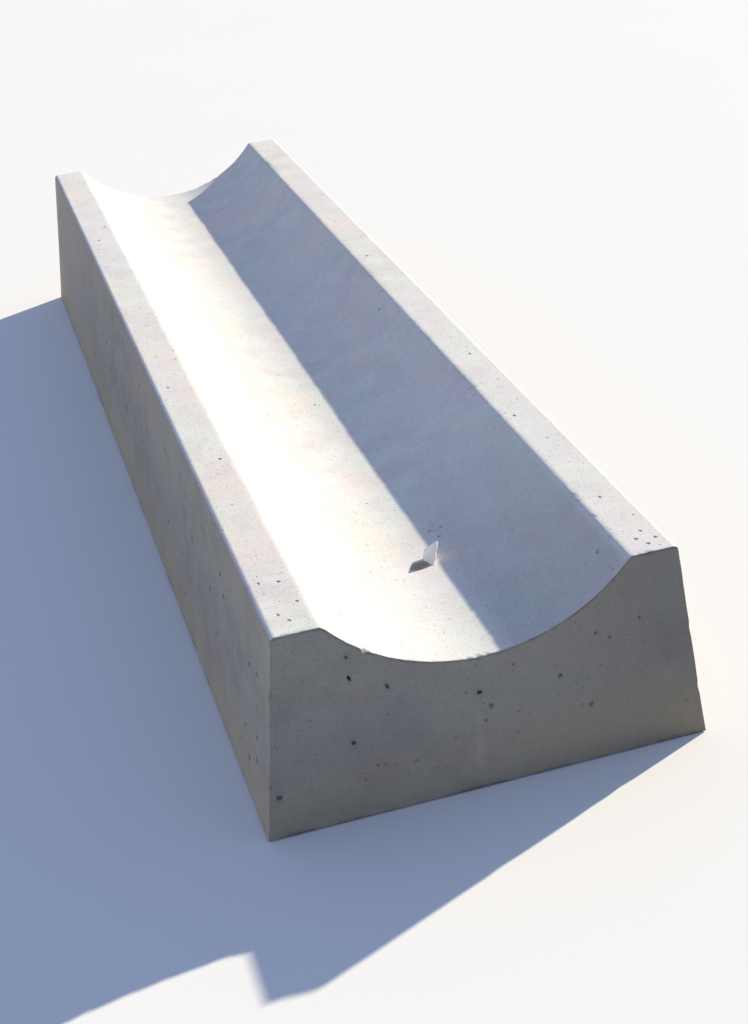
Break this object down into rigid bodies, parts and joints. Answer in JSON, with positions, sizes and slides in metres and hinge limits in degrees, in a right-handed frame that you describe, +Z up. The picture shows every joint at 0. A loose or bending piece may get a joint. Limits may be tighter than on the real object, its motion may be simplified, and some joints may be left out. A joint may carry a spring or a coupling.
{
  "type": "precast concrete open channel",
  "caption": "Long precast concrete block with a dished trough along its top, flat rims, an embedded reinforcing cage, and the end of a flat steel strap standing out of the trough floor.",
  "frame": {"origin": "centre of the base, on the ground", "axes": "+Z up, Y along the channel with the strap near the -Y end, X across the channel"},
  "size_m": [0.65, 2.4, 0.315],
  "materials": {
    "concrete": "cast concrete, matt, smooth from the mould with air-void pits and worn edges",
    "mortar": "cast cement mortar, matt",
    "strap_steel": "galvanised flat strap, weathered, with rust on its cut edges",
    "link_steel": "hot-rolled reinforcing steel, thin brown rust",
    "bar_steel": "hot-rolled reinforcing steel, thin brown rust"
  },
  "bodies": {
    "root": {"channel_body": "concrete", "floor_strap": "strap_steel", "outer_link_1": "link_steel", "outer_link_2": "link_steel", "outer_link_3": "link_steel", "outer_link_4": "link_steel", "outer_link_5": "link_steel", "outer_link_6": "link_steel", "outer_link_7": "link_steel", "outer_link_8": "link_steel", "outer_link_9": "link_steel", "trough_bar_1": "link_steel", "trough_bar_2": "link_steel", "trough_bar_3": "link_steel", "trough_bar_4": "link_steel", "trough_bar_5": "link_steel", "trough_bar_6": "link_steel", "trough_bar_7": "link_steel", "trough_bar_8": "link_steel", "trough_bar_9": "link_steel", "bottom_bar_1": "bar_steel", "bottom_bar_2": "bar_steel", "bottom_bar_3": "bar_steel", "bottom_bar_4": "bar_steel", "rim_bar_left": "bar_steel", "rim_bar_right": "bar_steel", "haunch_bar_left": "bar_steel", "haunch_bar_right": "bar_steel", "invert_bar": "bar_steel", "cover_block_left_1": "mortar", "cover_block_right_1": "mortar", "cover_block_left_2": "mortar", "cover_block_right_2": "mortar", "cover_block_left_3": "mortar", "cover_block_right_3": "mortar"}
  },
  "joints": []
}
